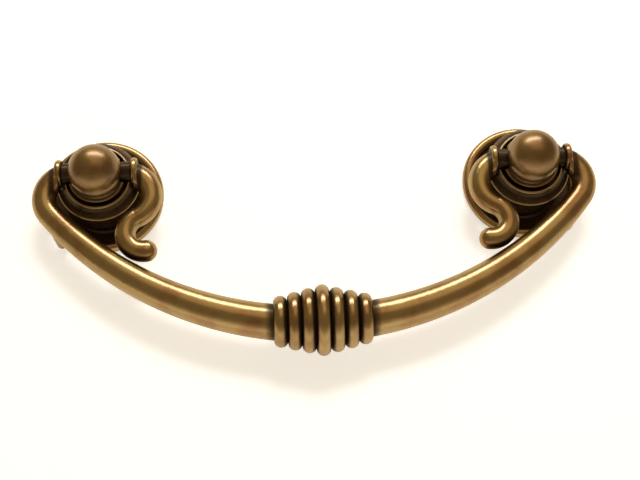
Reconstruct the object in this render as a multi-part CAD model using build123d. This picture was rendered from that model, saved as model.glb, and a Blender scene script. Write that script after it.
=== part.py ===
"""Swinging bail handle for a drawer, in antique brass.

Frame: X runs from the left post to the right one, +Z is up, and +Y points into
the drawer. The drawer face is the plane Y = 0, and the origin lies midway
between the two screws. The bail hangs plumb.

Turned pieces are drawn as (radius, front): the distance from the post's own
axis, and the distance in front of the drawer face.
"""
import os
from math import atan2, cos, degrees, radians, sin, sqrt

from build123d import *

# Posts
post_spacing = 96.0         # between the two screws
hinge_front = 13.6          # hinge axis in front of the drawer face
hinge_rise = 0.95           # hinge axis above the post axis

# Clearances
running_fit = 0.10          # journal in its bearing, radial
press_gap = 0.05            # turned piece in its bore, radial
side_play = 0.30            # disc on the bail beside the collar
relief_play = 0.20          # rods of the bail in the collar's reliefs, radial

# Rosette
rosette_radius = 13.5
rosette_bead_radius = 1.2
rosette_floor = 0.9         # thickness of the dish
seat_radius = 8.4           # raised ring that carries the collar
seat_front = 1.4

# Collar
rim_front = 13.25
rim_outer_radius = 7.4
rim_width = 0.65            # wall at the rim
rim_rounding = 0.3
cup_depth = 2.6
lip_radius = 9.2
lip_drop = 2.8              # lip behind the rim
lip_rounding = 0.4
waist_radius = 7.3
foot_radius = 8.0
foot_height = 0.8
core_radius = 5.0           # bore through collar and rosette

# Knob
ball_radius = 5.75
ball_front = 16.95          # centre of the ball
ball_flat = 0.2             # radius of the flat that facing left at the tip
flange_radius = 6.25
flange_back = 13.7
flange_thickness = 0.5
flange_land = 0.02          # flat left between the flange's edge and the hollow
channel_radius = 2.8        # notch through the flange for the journal
prong_end = 8.5             # rear of the forked stem

# Threaded core
thread_radius = 1.65        # M4 tapping
thread_depth = 7.5

# Journals and discs of the bail
journal_radius = 2.2
disc_offset = 8.2           # disc centre from the post axis
disc_radius = 3.0
disc_thickness = 1.6
disc_rounding = 0.7

# Bar of the bail
bar_drop = 35.3             # lowest point of the bar's centreline
bar_radii = (3.97, 3.80, 3.50, 3.08, 2.62)     # from the middle to the corner
ear_bend = 5.6              # centreline radius of the ear
ear_lean = 64.0             # where the ear meets the disc, degrees round the bend
ear_radius = 2.53

# Tails of the bail
tail_lean = 18.4            # first direction below the horizontal, degrees
belly_bend = 5.36
belly_turn = 137.9
hook_bend = 4.04
hook_turn = 164.0
tail_radii = (2.64, 2.46, 2.17, 2.35)          # disc, middle of belly, hook, tip

# Ringed grip
ring_count = 7
ring_pitch = 2.98
middle_ring_radius = 7.6
end_ring_radius = 5.5
groove_depth = 1.15
grip_drop = 34.55           # axis of the rings

# Bumpers behind the corners of the bail
bumper_radius = 1.25
bumper_out = 9.0            # from the post axis
bumper_drop = 11.6
bumper_front = 2.0          # tip in front of the drawer face

# What follows from the sizes above
post_x = post_spacing / 2
bearing_radius = journal_radius + running_fit
rim_inner_radius = rim_outer_radius - rim_width
bail_plane = Plane(origin=(0, -hinge_front, 0), x_dir=(1, 0, 0), z_dir=(0, -1, 0))


def turned(outline):
    """Solid of revolution about the post axis from (radius, front) edges."""
    return revolve(make_face(outline), Axis.Y)


def spot(radius, front):
    return (radius, -front)


def line(*points):
    return Polyline(*[spot(*point) for point in points])


def bend(start, middle, end):
    return ThreePointArc(spot(*start), spot(*middle), spot(*end))


def bar_along_x(radius, start, end):
    """Cylinder on the hinge axis between two distances from the post axis."""
    middle = (start + end) / 2
    bar = Cylinder(radius, abs(end - start), rotation=(0, 90, 0))
    return Pos(middle, -hinge_front, hinge_rise) * bar


def both_sides(shape):
    """The shape and its mirror image across the post axis."""
    return [shape, mirror(shape, Plane.YZ)]


def rosette():
    """Round backplate with a beaded edge and a raised seat."""
    bead_x = rosette_radius - rosette_bead_radius
    rise = rosette_floor - rosette_bead_radius
    inner = bead_x - sqrt(rosette_bead_radius**2 - rise**2)
    bore = core_radius + press_gap
    outline = [
        line((bead_x, 0), (bore, 0), (bore, seat_front), (seat_radius, seat_front),
             (seat_radius + seat_front - rosette_floor, rosette_floor), (inner, rosette_floor)),
        bend((inner, rosette_floor), (bead_x, 2 * rosette_bead_radius),
             (rosette_radius, rosette_bead_radius)),
        bend((rosette_radius, rosette_bead_radius),
             (bead_x + rosette_bead_radius * sin(radians(45)),
              rosette_bead_radius * (1 - sin(radians(45)))), (bead_x, 0)),
    ]
    return turned(outline)


def collar():
    """Waisted cup that stands on the rosette and carries the journal."""
    lip_front = rim_front - lip_drop
    bore = core_radius + press_gap
    foot_top = seat_front + foot_height
    under_lip = (lip_radius - 2 * lip_rounding, lip_front - lip_rounding)
    over_lip = (lip_radius - lip_rounding, lip_front + lip_rounding)
    flare_top = (rim_outer_radius, rim_front - rim_rounding)
    rim_middle = ((rim_outer_radius + rim_inner_radius) / 2, rim_front)
    inner_top = (rim_inner_radius, rim_front - rim_rounding)
    cup_floor = rim_front - cup_depth
    flare_x = rim_outer_radius + 0.25 * (over_lip[0] - rim_outer_radius)
    flare_y = over_lip[1] + 0.35 * (flare_top[1] - over_lip[1])
    outline = [
        line(inner_top, (rim_inner_radius, cup_floor), (bore, cup_floor), (bore, seat_front),
             (foot_radius, seat_front), (foot_radius, foot_top)),
        bend((foot_radius, foot_top), (waist_radius, (foot_top + under_lip[1]) / 2), under_lip),
        bend(under_lip, (lip_radius, lip_front), over_lip),
        bend(over_lip, (flare_x, flare_y), flare_top),
        bend(flare_top, rim_middle, inner_top),
    ]
    body = turned(outline)
    reach = lip_radius + side_play
    # the rods end lower than the discs by the hinge's rise
    relief_radius = max(disc_radius, hinge_rise + tail_radii[0]) + relief_play
    relief_start = disc_offset - disc_thickness / 2 - side_play
    bearing = bar_along_x(bearing_radius, -reach, reach)
    relief = bar_along_x(relief_radius, relief_start, reach + disc_thickness)
    return body - bearing - both_sides(relief)


def knob():
    """Ball on a thin flange, with a forked stem that straddles the journal."""
    flange_front = flange_back + flange_thickness
    stem_radius = core_radius
    apex = ball_front + sqrt(ball_radius**2 - ball_flat**2)
    edge = flange_thickness / 2
    # the cove is an arc that touches the flange's face and the ball
    cove_x = flange_radius - edge - flange_land
    rise = ball_front - flange_front
    cove_radius = (cove_x**2 + rise**2 - ball_radius**2) / (2 * (ball_radius + rise))
    cove_front = flange_front + cove_radius
    lean = atan2(ball_front - cove_front, cove_x)
    touch = (ball_radius * cos(lean), ball_front - ball_radius * sin(lean))
    half = (radians(90) + lean) / 2
    cove_middle = (cove_x - cove_radius * sin(half), cove_front - cove_radius * cos(half))
    up = (radians(90) - lean) / 2
    ball_middle = (ball_radius * cos(up), ball_front + ball_radius * sin(up))
    outline = [
        line((0, apex), (0, prong_end), (stem_radius, prong_end), (stem_radius, flange_back),
             (flange_radius - edge, flange_back)),
        bend((flange_radius - edge, flange_back), (flange_radius, flange_back + edge),
             (flange_radius - edge, flange_front)),
        line((flange_radius - edge, flange_front), (cove_x, flange_front)),
        bend((cove_x, flange_front), cove_middle, touch),
        bend(touch, ball_middle, (ball_flat, apex)),
        line((ball_flat, apex), (0, apex)),
    ]
    body = turned(outline)
    reach = flange_radius + side_play
    bearing = bar_along_x(bearing_radius, -reach, reach)
    slot_length = hinge_front - prong_end + side_play
    slot = Box(2 * reach, slot_length, 2 * bearing_radius)
    channel = bearing + Pos(0, -(hinge_front - slot_length / 2), hinge_rise) * slot
    notch = bar_along_x(channel_radius, stem_radius, reach)
    for cut in [channel, *both_sides(notch)]:
        body = body - cut
    return body


def threaded_core():
    """Plug behind the forked stem, tapped from the rear for the screw."""
    plug = Cylinder(core_radius, prong_end, rotation=(90, 0, 0))
    tapping = Cylinder(thread_radius, thread_depth, rotation=(90, 0, 0))
    return Pos(0, -prong_end / 2, 0) * plug - Pos(0, -thread_depth / 2, 0) * tapping


def tapered_rod(path, radii):
    """Round rod along a planar path, with its radii evenly spaced along it."""
    last = len(radii) - 1
    sections = []
    for index, radius in enumerate(radii):
        at = index / last
        sections.append(Plane(origin=path @ at, z_dir=path % at) * Circle(radius))
    return sweep(sections, path=path, multisection=True)


def arc_path(centre, radius, start, turn):
    """Arc in the plane of the bail, from a centre and polar angles in degrees."""
    return bail_plane * CenterArc(centre, radius, start, turn)


def trim_at_disc(rod):
    """The rod without what its slanted end reaches past the middle of the disc."""
    height = 4 * disc_radius
    return rod - Pos(post_x, -hinge_front, hinge_rise) * Box(2 * disc_offset, height, height)


def bail_bar():
    """Right half of the bar: a long shallow arc, then the tight ear."""
    ear_x = post_x + disc_offset - ear_bend * cos(radians(ear_lean))
    ear_z = -ear_bend * sin(radians(ear_lean))
    height = ear_z + bar_drop
    sweep_radius = (ear_x**2 + height**2 - ear_bend**2) / (2 * (height - ear_bend))
    centre_z = sweep_radius - bar_drop
    corner = degrees(atan2(ear_z - centre_z, ear_x))
    long_arc = arc_path((0, centre_z), sweep_radius, -90, corner + 90)
    ear_arc = arc_path((ear_x, ear_z), ear_bend, corner, ear_lean - corner)
    ear = tapered_rod(ear_arc, (bar_radii[-1], ear_radius))
    return [tapered_rod(long_arc, bar_radii), trim_at_disc(ear)]


def bail_tail():
    """Right tail: a belly away from the disc, then a hook back under it."""
    start = (post_x - disc_offset, 0)
    heading = 180 + tail_lean
    belly_centre = (start[0] - belly_bend * sin(radians(heading)),
                    start[1] + belly_bend * cos(radians(heading)))
    belly = arc_path(belly_centre, belly_bend, heading - 90, belly_turn)
    heading += belly_turn
    joint = (belly_centre[0] + belly_bend * sin(radians(heading)),
             belly_centre[1] - belly_bend * cos(radians(heading)))
    hook_centre = (joint[0] + hook_bend * sin(radians(heading)),
                   joint[1] - hook_bend * cos(radians(heading)))
    hook = arc_path(hook_centre, hook_bend, heading + 90, -hook_turn)
    disc, middle, waist, tip = tail_radii
    end = hook @ 1
    return [trim_at_disc(tapered_rod(belly, (disc, middle, waist))),
            tapered_rod(hook, (waist, tip)), Pos(end.X, end.Y, end.Z) * Sphere(tip)]


def bail_hinge():
    """Journal between two rounded discs, centred on one post."""
    journal = bar_along_x(journal_radius, -disc_offset, disc_offset)
    disc = bar_along_x(disc_radius, disc_offset - disc_thickness / 2,
                       disc_offset + disc_thickness / 2)
    disc = fillet(disc.edges().filter_by(GeomType.CIRCLE), disc_rounding)
    return [Pos(post_x, 0, 0) * piece for piece in [journal, *both_sides(disc)]]


def bumper():
    """Round peg behind the bail's corner, with a domed tip."""
    length = hinge_front - bumper_front - bumper_radius
    place = Pos(post_x + bumper_out, -hinge_front + length / 2, -bumper_drop)
    tip = Pos(post_x + bumper_out, -hinge_front + length, -bumper_drop)
    return [place * Cylinder(bumper_radius, length, rotation=(90, 0, 0)),
            tip * Sphere(bumper_radius)]


def ringed_grip():
    """Row of turned rings that swells to the middle."""
    half_count = (ring_count - 1) / 2
    step = (middle_ring_radius - end_ring_radius) / half_count
    radii = [middle_ring_radius - step * abs(index - half_count) for index in range(ring_count)]
    grooves = [radii[0] - groove_depth]
    for left, right in zip(radii, radii[1:]):
        grooves.append(min(left, right) - groove_depth)
    grooves.append(radii[-1] - groove_depth)
    start = -ring_count * ring_pitch / 2
    outline = []
    for index, radius in enumerate(radii):
        left = start + index * ring_pitch
        outline.append(ThreePointArc((left, grooves[index]), (left + ring_pitch / 2, radius),
                                     (left + ring_pitch, grooves[index + 1])))
    outline.append(Polyline((-start, grooves[-1]), (-start, 0), (start, 0), (start, grooves[0])))
    rings = revolve(make_face(outline), Axis.X)
    return Pos(0, -hinge_front, -grip_drop) * rings


def bail():
    """The one-piece casting that hangs from both posts."""
    right = [*bail_bar(), *bail_tail(), *bail_hinge(), *bumper()]
    left = [mirror(piece, Plane.YZ) for piece in right]
    whole = ringed_grip()
    for piece in right + left:
        whole = whole + piece
    return whole


def save(shape, name):
    export_step(shape, f"parts/{name}.step")


os.makedirs("parts", exist_ok=True)
save(bail(), "bail")
for side, x in (("left", -post_x), ("right", post_x)):
    save(Pos(x, 0, 0) * rosette(), f"{side}_rosette")
    save(Pos(x, 0, 0) * collar(), f"{side}_collar")
    save(Pos(x, 0, 0) * knob(), f"{side}_knob")
    save(Pos(x, 0, 0) * threaded_core(), f"{side}_threaded_core")
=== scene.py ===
import math

import bmesh
import bpy
from mathutils import Matrix, Vector


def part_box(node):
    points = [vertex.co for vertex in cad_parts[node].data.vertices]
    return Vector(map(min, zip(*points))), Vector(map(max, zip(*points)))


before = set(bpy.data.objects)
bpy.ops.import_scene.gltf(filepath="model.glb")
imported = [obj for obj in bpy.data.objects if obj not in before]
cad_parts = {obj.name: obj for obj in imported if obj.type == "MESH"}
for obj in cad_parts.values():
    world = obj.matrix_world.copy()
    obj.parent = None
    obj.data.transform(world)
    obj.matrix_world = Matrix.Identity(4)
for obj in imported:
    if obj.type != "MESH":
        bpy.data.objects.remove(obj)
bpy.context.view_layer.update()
print("frame loaded:", len(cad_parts), "nodes")

mm = 0.001
softEdge = 0.1                  # width of a sharp border between two finishes, mm

# places that the materials need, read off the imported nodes
rosetteLow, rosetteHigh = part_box("right_rosette")
collarLow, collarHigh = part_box("right_collar")
postX = (rosetteLow.x + rosetteHigh.x) / 2
rosetteRadius = (rosetteHigh.z - rosetteLow.z) / 2
collarRadius = (collarHigh.z - collarLow.z) / 2
rimFront = -collarLow.y


def linear(hexCode):
    # sRGB hex to the linear colour that a shader wants
    channels = [int(hexCode[i:i + 2], 16) / 255 for i in (1, 3, 5)]
    channels = [c / 12.92 if c <= 0.04045 else ((c + 0.055) / 1.055) ** 2.4 for c in channels]
    return (*channels, 1.0)


def add(tree, kind, settings=None, values=None, links=None):
    # one node with its settings, socket values and incoming links
    node = tree.nodes.new(kind)
    for name, value in (settings or {}).items():
        setattr(node, name, value)
    for socket, value in (values or {}).items():
        node.inputs[socket].default_value = value
    for socket, source in (links or {}).items():
        tree.links.new(source, node.inputs[socket])
    return node


def newTree(name):
    material = bpy.data.materials.new(name)
    material.use_nodes = True
    material.node_tree.nodes.clear()
    return material, material.node_tree


def spread(tree, value, low, high, toLow=0.0, toHigh=1.0):
    # smooth step between two values
    node = add(tree, "ShaderNodeMapRange", {"interpolation_type": "SMOOTHSTEP"},
               {"From Min": low, "From Max": high, "To Min": toLow, "To Max": toHigh},
               {"Value": value})
    return node.outputs["Result"]


def combine(tree, operation, first, second=0.0, clamp=True):
    # one step of arithmetic on numbers or sockets
    node = add(tree, "ShaderNodeMath", {"operation": operation, "use_clamp": clamp})
    for socket, value in enumerate((first, second)):
        if isinstance(value, (int, float)):
            node.inputs[socket].default_value = value
        else:
            tree.links.new(value, node.inputs[socket])
    return node.outputs[0]


def noise(tree, place, size, detail=3.0, roughness=0.5):
    # size is the width of one blotch in mm
    node = add(tree, "ShaderNodeTexNoise", None,
               {"Scale": 1 / (size * mm), "Detail": detail, "Roughness": roughness},
               {"Vector": place})
    return node.outputs["Fac"]


def blend(tree, factor, first, second):
    # colours as hex or sockets
    node = add(tree, "ShaderNodeMix", {"data_type": "RGBA"}, None, {"Factor": factor})
    for socket, value in ((6, first), (7, second)):
        if isinstance(value, str):
            node.inputs[socket].default_value = linear(value)
        else:
            tree.links.new(value, node.inputs[socket])
    return node.outputs[2]


metal = {
    "worn": "#ac8d55",          # brass rubbed bright
    "warm": "#8f5f30",          # browner clouds in it
    "patinaAndShade": "#3a2817",        # blackening left in the hollows, and also the colour of the painted shade
    "cloud": 6.0,               # mm
    "cloudRange": (0.4, 0.68),  # of the noise
    "cloudShare": 0.65,
    "fleck": 0.9,               # mm
    "fleckShare": 0.25,         # how far the flecks shift the edge of the patina
    "fleckRoughness": 0.06,
    "patinaRange": (0.05, 0.8),
    "grain": 0.8,               # mm
    "smooth": 0.26,             # roughness of the rubbed metal
    "dull": 0.42,               # and of the patina
    "patinaMetallic": 0.6,      # the blackening is partly an oxide crust
    "edge": "#e6d3a2",          # tint of the metal seen at a grazing angle
    "lacquer": 0.8,             # on the rubbed metal
    "dullLacquer": 0.12,        # over the patina
    "lacquerRoughness": 0.2,
    "bump": 0.002,              # mm
    "bumpStrength": 0.3,
}


def brassTree(tree, reliefAndShade, place, worn=metal["worn"], warm=metal["warm"], smooth=metal["smooth"]):
    # the first mask is 1 where the patina is rubbed off and no shade is painted, 0 where the
    # patina stays or shade is painted
    clouds = spread(tree, noise(tree, place, metal["cloud"]), *metal["cloudRange"])
    flecks = noise(tree, place, metal["fleck"], detail=4.0, roughness=0.6)
    grain = noise(tree, place, metal["grain"], detail=2.0)
    bright = blend(tree, combine(tree, "MULTIPLY", clouds, metal["cloudShare"]), worn, warm)
    uneven = combine(tree, "SUBTRACT", flecks, 0.5, clamp=False)
    uneven = combine(tree, "MULTIPLY", uneven, metal["fleckShare"], clamp=False)
    cleanAndUnshaded = spread(tree, combine(tree, "ADD", reliefAndShade, uneven), *metal["patinaRange"])
    colour = blend(tree, cleanAndUnshaded, metal["patinaAndShade"], bright)
    dullness = spread(tree, cleanAndUnshaded, 0.0, 1.0, metal["dull"], smooth)
    metallic = spread(tree, cleanAndUnshaded, 0.0, 1.0, metal["patinaMetallic"], 1.0)
    lacquer = spread(tree, cleanAndUnshaded, 0.0, 1.0, metal["dullLacquer"], metal["lacquer"])
    rough = add(tree, "ShaderNodeMath", {"operation": "MULTIPLY_ADD"},
                {1: metal["fleckRoughness"]}, {0: flecks, 2: dullness}).outputs[0]
    bump = add(tree, "ShaderNodeBump", None,
               {"Strength": metal["bumpStrength"], "Distance": metal["bump"] * mm},
               {"Height": grain})
    shader = add(tree, "ShaderNodeBsdfPrincipled", None,
                 {"Specular Tint": linear(metal["edge"]),
                  "Coat Roughness": metal["lacquerRoughness"]},
                 {"Base Color": colour, "Metallic": metallic, "Roughness": rough,
                  "Coat Weight": lacquer, "Normal": bump.outputs["Normal"]})
    add(tree, "ShaderNodeOutputMaterial", links={"Surface": shader.outputs["BSDF"]})


def hollows(tree, reach, low, high):
    # 0 in a hollow, 1 on an open face; reach in mm
    node = add(tree, "ShaderNodeAmbientOcclusion", {"samples": 12}, {"Distance": reach * mm})
    return spread(tree, node.outputs["AO"], low, high)


def postPlace(tree):
    # place, and then from the nearer post's axis: distance sideways, height and radius;
    # last the distance in front of the drawer
    place = add(tree, "ShaderNodeTexCoord").outputs["Object"]
    split = add(tree, "ShaderNodeSeparateXYZ", None, None, {"Vector": place})
    side = combine(tree, "ABSOLUTE", split.outputs["X"], clamp=False)
    across = combine(tree, "SUBTRACT", side, postX, clamp=False)
    flat = add(tree, "ShaderNodeCombineXYZ", None, None,
               {"X": across, "Z": split.outputs["Z"]}).outputs[0]
    radius = add(tree, "ShaderNodeVectorMath", {"operation": "LENGTH"}, None,
                 {0: flat}).outputs["Value"]
    front = combine(tree, "MULTIPLY", split.outputs["Y"], -1.0, clamp=False)
    away = combine(tree, "ABSOLUTE", across, clamp=False)
    return place, away, split.outputs["Z"], radius, front


bailFinish = {
    "discInside": 7.35,         # inner face of the disc from the post axis, mm
    "discOutside": 8.95,        # outer face
    "dark": 0.5,                # the darkening beside the disc, patina and painted shade, is full up to this
    "fade": 2.0,                # and dies out here
    "below": -8.0,              # it also ends here, fading over the next lengths upward
    "belowFade": 5.0,
    "reach": 4.0,               # how far a neighbour keeps the patina and paints shade on a face, mm
    "open": (0.55, 0.97),
    "ringReach": 3.0,
    "ringOpen": (0.8, 0.985),
    "gripEnd": 10.4,            # from the middle of the bar, mm
    "gripFade": (11.0, 12.5),
    "barEnd": 13.5,             # the bar is darker from the grip to here
    "barEndClean": 0.3,
}


def bailBrass():
    # antique brass bail, cast and rubbed: patina between the rings and on the journals;
    # patina and painted shade beside the discs and near other parts
    material, tree = newTree("bail_antique_brass")
    place, away, height, radius, front = postPlace(tree)
    inside, below = bailFinish["discInside"], bailFinish["below"]
    journal = spread(tree, away, (inside - softEdge) * mm, inside * mm)
    # patina beside the disc, and painted shade where the disc and the knob shade the rod
    beside = combine(tree, "SUBTRACT", away, bailFinish["discOutside"] * mm, clamp=False)
    faded = spread(tree, beside, bailFinish["dark"] * mm, bailFinish["fade"] * mm)
    onDisc = combine(tree, "LESS_THAN", beside, 0.0)
    nearHinge = combine(tree, "MULTIPLY", journal, combine(tree, "MAXIMUM", faded, onDisc))
    lower = spread(tree, height, below * mm, (below + bailFinish["belowFade"]) * mm, 1.0, 0.0)
    reliefAndShade = combine(tree, "MAXIMUM", nearHinge, lower)
    # the ringed grip kept more of it, down the sides of every ring
    fadeStart, fadeEnd = [postX - length * mm for length in bailFinish["gripFade"]]
    offGrip = spread(tree, away, fadeStart, fadeEnd)
    ringSides = hollows(tree, bailFinish["ringReach"], *bailFinish["ringOpen"])
    sides = combine(tree, "MAXIMUM", offGrip, ringSides)
    # patina kept where a neighbouring part is near, and painted shade there too
    faces = hollows(tree, bailFinish["reach"], *bailFinish["open"])
    rubbedAndUnshaded = combine(tree, "MULTIPLY", sides, faces)
    # the bar darkens towards the grip
    gripEnd, barEnd = [postX - bailFinish[end] * mm for end in ("gripEnd", "barEnd")]
    darkEnd = spread(tree, away, gripEnd, barEnd, bailFinish["barEndClean"], 1.0)
    onRings = combine(tree, "GREATER_THAN", away, gripEnd)
    rubbedAndUnshaded = combine(tree, "MULTIPLY", rubbedAndUnshaded, combine(tree, "MAXIMUM", darkEnd, onRings))
    brassTree(tree, combine(tree, "MULTIPLY", reliefAndShade, rubbedAndUnshaded), place)
    return material


knobFinish = {
    "flangeFront": 14.2,        # mm in front of the drawer
    "creaseTop": 14.5,
    "flangeEdge": (5.65, 5.9),  # radii where the rubbed edge starts, mm
    "worn": "#94733f",          # browner than the bail
    "warm": "#73502b",
    "smooth": 0.38,
    "collarShade": 0.5,                # the rubbed share that the painted shade of the collar leaves at least
    "collarShadeReach": 5.0,           # mm
    "collarShadeOpen": (0.55, 1.0),
}


def knobBrass():
    # antique brass knob, turned and polished, with patina in the crease over the flange
    material, tree = newTree("knob_antique_brass")
    place, away, height, radius, front = postPlace(tree)
    ball = spread(tree, front, knobFinish["flangeFront"] * mm, knobFinish["creaseTop"] * mm)
    edge = spread(tree, radius, *[length * mm for length in knobFinish["flangeEdge"]])
    # painted shade: the knob darkens where the collar is near
    collarShade = hollows(tree, knobFinish["collarShadeReach"], *knobFinish["collarShadeOpen"])
    collarShade = combine(tree, "MAXIMUM", collarShade, knobFinish["collarShade"])
    reliefAndShade = combine(tree, "MULTIPLY", combine(tree, "MAXIMUM", ball, edge), collarShade)
    brassTree(tree, reliefAndShade, place, knobFinish["worn"], knobFinish["warm"], knobFinish["smooth"])
    return material


collarFinish = {
    "rim": (0.4, 0.1),          # behind its front, mm
    "rimRadius": (6.9, 7.05),
    "lip": (0.45, 0.05),        # inside its edge, mm
    "lipClean": 0.35,
    "leastClean": 0.12,         # the rest is nearly all patina
}


def collarBrass():
    # blackened brass collar, turned: it kept its patina, but for the rim and the lip
    material, tree = newTree("collar_blackened_brass")
    place, away, height, radius, front = postPlace(tree)
    rim = spread(tree, front, *[rimFront - length * mm for length in collarFinish["rim"]])
    outside = spread(tree, radius, *[length * mm for length in collarFinish["rimRadius"]])
    lipEdges = [collarRadius - length * mm for length in collarFinish["lip"]]
    lip = spread(tree, radius, *lipEdges, 0.0, collarFinish["lipClean"])
    reliefAndShade = combine(tree, "MAXIMUM", combine(tree, "MULTIPLY", rim, outside), lip)
    brassTree(tree, combine(tree, "ADD", reliefAndShade, collarFinish["leastClean"]), place)
    return material


rosetteFinish = {
    "bead": (2.6, 1.9),         # inside the edge, mm
    "reach": 1.5,
    "open": (0.25, 0.75),
}


def rosetteBrass():
    # antique brass backplate, cast: bright bead round the edge, blackened dish
    material, tree = newTree("rosette_antique_brass")
    place, away, height, radius, front = postPlace(tree)
    bead = spread(tree, radius, *[rosetteRadius - length * mm for length in rosetteFinish["bead"]])
    # patina in the corners of the dish, and painted shade where the tail and the collar come near
    faces = hollows(tree, rosetteFinish["reach"], *rosetteFinish["open"])
    brassTree(tree, combine(tree, "MULTIPLY", bead, faces), place)
    return material


coreBlotch = 2.0                # mm


def coreBrass():
    # blackened brass plug inside the post, turned and never rubbed
    material, tree = newTree("core_blackened_brass")
    place = add(tree, "ShaderNodeTexCoord").outputs["Object"]
    brassTree(tree, noise(tree, place, coreBlotch), place)
    return material


finishes = {
    "bail": bailBrass(),
    "knob": knobBrass(),
    "collar": collarBrass(),
    "rosette": rosetteBrass(),
    "threaded_core": coreBrass(),
}
for name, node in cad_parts.items():
    finish = next(material for part, material in finishes.items() if name.endswith(part))
    for slot in node.material_slots:
        slot.material = finish
print("materials done:", len(finishes))

studio = {
    "paper": "#f6f4f1",         # card behind the handle
    "floorPaper": "#cfcabd",
    "glow": "#fffbf3",          # light of the cards themselves
    "glowStrength": 0.64,
    "backSize": 1600,           # mm
    "backGap": 0.3,             # behind the rosettes
    "floorDrop": 300,           # below the handle
    "floorDepth": 330,
    "near": 40,                 # mirrored glow is full within this, mm
    "backNear": 0.75,           # how much of it the backdrop and the floor send there
    "floorNear": 1.5,
    "far": 240,                 # and nearly gone beyond this
    "backFar": 380,
    "farGlow": 0.1,
}


def paperMaterial(name, colour, falls, full, far):
    # white card, painted matt and lit from within so that it stays white; clear from behind
    material, tree = newTree(name)
    paper = add(tree, "ShaderNodeBsdfDiffuse", None, {"Color": linear(colour)})
    ray = add(tree, "ShaderNodeLightPath")
    place = add(tree, "ShaderNodeTexCoord").outputs["Object"]
    if falls == "round":
        distance = add(tree, "ShaderNodeVectorMath", {"operation": "LENGTH"}, None,
                       {0: place}).outputs["Value"]
    else:
        distance = add(tree, "ShaderNodeSeparateXYZ", None, None, {"Vector": place}).outputs["Y"]
        distance = combine(tree, "ABSOLUTE", distance, clamp=False)
    mirrored = spread(tree, distance, studio["near"] * mm, far * mm, full, studio["farGlow"])
    mirrored = combine(tree, "MULTIPLY", ray.outputs["Is Glossy Ray"], mirrored, clamp=False)
    seen = combine(tree, "MAXIMUM", ray.outputs["Is Camera Ray"], mirrored, clamp=False)
    strength = combine(tree, "MULTIPLY", seen, studio["glowStrength"], clamp=False)
    glow = add(tree, "ShaderNodeEmission", None, {"Color": linear(studio["glow"])},
               {"Strength": strength})
    lit = add(tree, "ShaderNodeAddShader", None, None, {0: paper.outputs[0], 1: glow.outputs[0]})
    clear = add(tree, "ShaderNodeBsdfTransparent")
    face = add(tree, "ShaderNodeNewGeometry")
    mix = add(tree, "ShaderNodeMixShader", None, None,
              {0: face.outputs["Backfacing"], 1: lit.outputs[0], 2: clear.outputs[0]})
    add(tree, "ShaderNodeOutputMaterial", links={"Surface": mix.outputs[0]})
    return material


def card(name, width, height, place, turn, material):
    # flat sheet; turn is a rotation matrix, and place is in mm
    shape = bmesh.new()
    bmesh.ops.create_grid(shape, x_segments=1, y_segments=1, size=0.5)
    bmesh.ops.scale(shape, verts=shape.verts, vec=(width * mm, height * mm, 1))
    bmesh.ops.rotate(shape, verts=shape.verts, matrix=turn)
    bmesh.ops.translate(shape, verts=shape.verts, vec=Vector(place) * mm)
    mesh = bpy.data.meshes.new(name)
    shape.to_mesh(mesh)
    shape.free()
    mesh.materials.append(material)
    sheet = bpy.data.objects.new(name, mesh)
    bpy.context.collection.objects.link(sheet)


backCard = paperMaterial("white_card_backdrop", studio["paper"], "round",
                         studio["backNear"], studio["backFar"])
floorCard = paperMaterial("white_card_floor", studio["floorPaper"], "straight",
                          studio["floorNear"], studio["far"])
upright = Matrix.Rotation(math.radians(90), 3, "X")
card("backdrop", studio["backSize"], studio["backSize"], (0, studio["backGap"], 0),
     upright, backCard)
card("floor", studio["backSize"], studio["floorDepth"],
     (0, -studio["floorDepth"] / 2, -studio["floorDrop"]), Matrix.Identity(3), floorCard)

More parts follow.
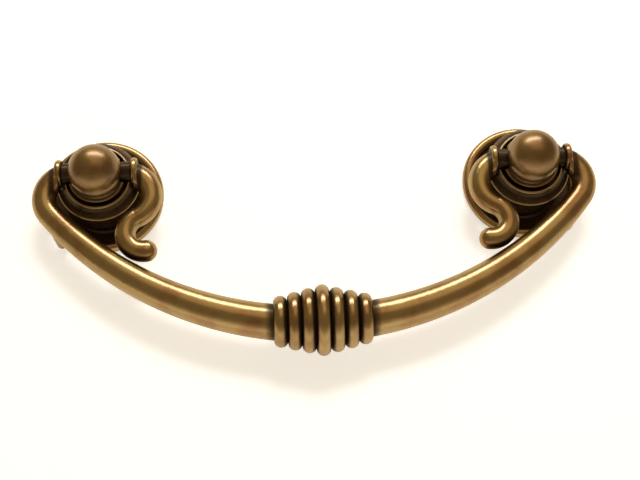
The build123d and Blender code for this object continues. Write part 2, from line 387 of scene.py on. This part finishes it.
lampDistance = 500              # mm
lamps = {
    # elevation and azimuth in degrees from the handle's front, and size in mm
    "strip": {"elevation": 57, "azimuth": 4, "size": (460, 130), "glow": 9, "colour": "#f0f5ff"},
    "window": {"elevation": 20, "azimuth": 12, "size": (420, 260), "glow": 0.6,
               "colour": "#ffe2b8"},
    "key": {"elevation": 17, "azimuth": 4, "size": (130, 90), "glow": 23, "colour": "#ffffff"},
}
mirrorOnly = ("strip",)         # seen in the metal, and throws no shadow on the card
shadowOnly = ("key",)           # lights the card, and isn't seen in the metal


def addLamp(name, lamp):
    # glow is the brightness that the metal mirrors, and white is 1
    width, height = [side * mm for side in lamp["size"]]
    light = bpy.data.lights.new(name, "AREA")
    light.shape = "RECTANGLE"
    light.size = width
    light.size_y = height
    light.energy = lamp["glow"] * math.pi * width * height
    light.color = linear(lamp["colour"])[:3]
    up, side = math.radians(lamp["elevation"]), math.radians(lamp["azimuth"])
    place = Vector((math.sin(side) * math.cos(up), -math.cos(side) * math.cos(up),
                    math.sin(up)))
    lampObject = bpy.data.objects.new(name, light)
    bpy.context.collection.objects.link(lampObject)
    lampObject.location = place * lampDistance * mm
    lampObject.rotation_euler = place.to_track_quat("Z", "Y").to_euler()
    lampObject.visible_diffuse = name not in mirrorOnly
    lampObject.visible_glossy = name not in shadowOnly


for name, lamp in lamps.items():
    addLamp(name, lamp)

room = {"colour": "#ffe9bf", "strength": 0.27}
world = bpy.data.worlds.new("dim_room")
world.use_nodes = True
world.node_tree.nodes["Background"].inputs["Color"].default_value = linear(room["colour"])
world.node_tree.nodes["Background"].inputs["Strength"].default_value = room["strength"]
bpy.context.scene.world = world
print("studio done:", len(lamps), "lamps")

view = {
    "place": (-10.486, -258.653, -101.873),     # mm
    "turn": (109.188, 2.744, -1.552),           # degrees
    "lens": 67.5,
    "nearest": 0.01,                            # m
}
camera = bpy.data.cameras.new("camera")
camera.lens = view["lens"]
camera.clip_start = view["nearest"]
cameraObject = bpy.data.objects.new("camera", camera)
bpy.context.collection.objects.link(cameraObject)
cameraObject.location = Vector(view["place"]) * mm
cameraObject.rotation_euler = [math.radians(angle) for angle in view["turn"]]
bpy.context.scene.camera = cameraObject
bpy.context.scene.view_settings.view_transform = "Standard"
